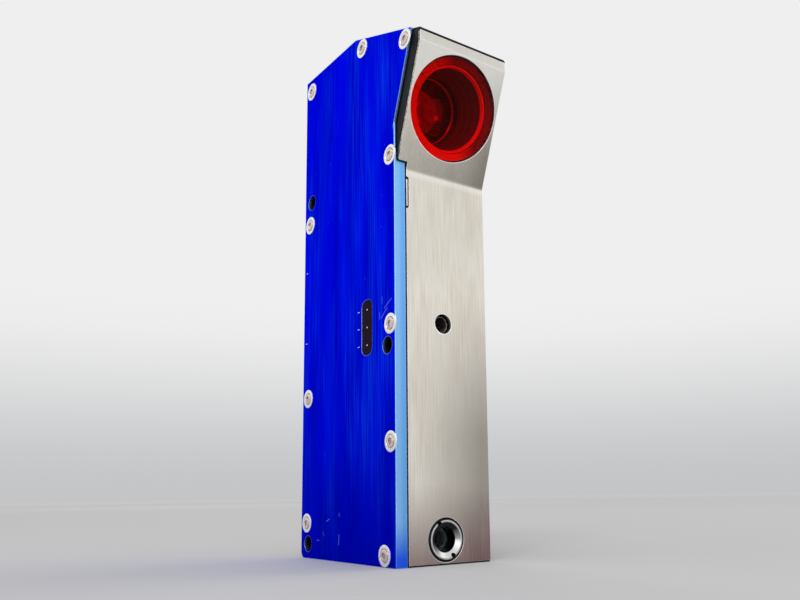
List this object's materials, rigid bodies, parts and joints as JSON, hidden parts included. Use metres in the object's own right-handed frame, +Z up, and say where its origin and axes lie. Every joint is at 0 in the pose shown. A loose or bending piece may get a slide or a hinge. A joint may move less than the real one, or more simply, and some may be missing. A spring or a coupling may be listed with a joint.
{
  "type": "laser displacement sensor",
  "caption": "Tall slim laser distance sensor with a leaning head, a round red receiving window, a small emitter at its foot and a bolted side cover.",
  "frame": {"origin": "bottom face of the housing, at half its depth, in the plane of the two light paths", "axes": "+Z up the case, -Y out of the front where the beam leaves, -X out of the blue cover"},
  "size_m": [0.0389, 0.0924, 0.19],
  "materials": {
    "black_anodised": "satin black anodised",
    "blue_anodised": "brushed blue anodised sheet",
    "bright_sheet": "satin rolled sheet",
    "zinc_steel": "bright screw steel",
    "turned_steel": "turned",
    "bare_aluminium": "turned",
    "black_rubber": "matte",
    "pale_rubber": "pale silicone",
    "black_oxide": "blackened, turned",
    "adhesive": "matte film",
    "red_glass": "polished filter glass",
    "clear_glass": "polished",
    "smoked_pane": "tinted plastic pane",
    "circuit_board": "solder mask",
    "chip_black": "moulded",
    "header_cream": "moulded",
    "coil_grey": "ferrite",
    "can_aluminium": "drawn can",
    "lamp_clear": "clear resin",
    "pad_grey": "silicone pad",
    "lead_black": "lead sheath",
    "nickel_brass": "nickel plated",
    "gold_brass": "gold plated"
  },
  "bodies": {
    "root": {"housing": "black_anodised", "front_plate": "bright_sheet", "front_bond": "adhesive", "side_cover": "blue_anodised", "cover_gasket": "black_rubber", "cover_screws": "zinc_steel", "thread_insert": "black_oxide", "emitter_ring": "bare_aluminium", "emitter_seal": "black_rubber", "emitter_window": "clear_glass", "emitter_gasket": "black_rubber", "laser_tube": "black_anodised", "tube_lock_ring": "bare_aluminium", "collimator_lens": "clear_glass", "laser_diode": "gold_brass", "diode_clamp": "bare_aluminium", "laser_board": "circuit_board", "laser_set_screw": "zinc_steel", "laser_lead": "lead_black", "receiver_window": "red_glass", "receiver_gasket": "pale_rubber", "lens_hood": "black_anodised", "lens_barrel": "black_anodised", "front_lens": "clear_glass", "lens_spacer": "bare_aluminium", "rear_lens": "clear_glass", "lens_lock_ring": "black_anodised", "barrel_straps": "turned_steel", "strap_screws": "zinc_steel", "image_sensor": "chip_black", "sensor_glass": "clear_glass", "sensor_board": "circuit_board", "sensor_bracket": "bare_aluminium", "sensor_screws": "zinc_steel", "bracket_screws": "zinc_steel", "sensor_lead": "lead_black", "main_board": "circuit_board", "board_spacers": "nickel_brass", "board_screws": "zinc_steel", "processor": "chip_black", "thermal_pad": "pad_grey", "board_chips": "chip_black", "power_coil": "coil_grey", "capacitors": "can_aluminium", "board_headers": "header_cream", "indicator_lamps": "lamp_clear", "light_guide": "chip_black", "indicator_window": "smoked_pane", "plug_washer_a": "black_rubber", "plug_shell_a": "nickel_brass", "plug_insert_a": "chip_black", "plug_contacts_a": "gold_brass", "plug_nut_a": "nickel_brass", "plug_lead_a": "lead_black", "plug_washer_b": "black_rubber", "plug_shell_b": "nickel_brass", "plug_insert_b": "chip_black", "plug_contacts_b": "gold_brass", "plug_nut_b": "nickel_brass", "plug_lead_b": "lead_black"}
  },
  "joints": []
}
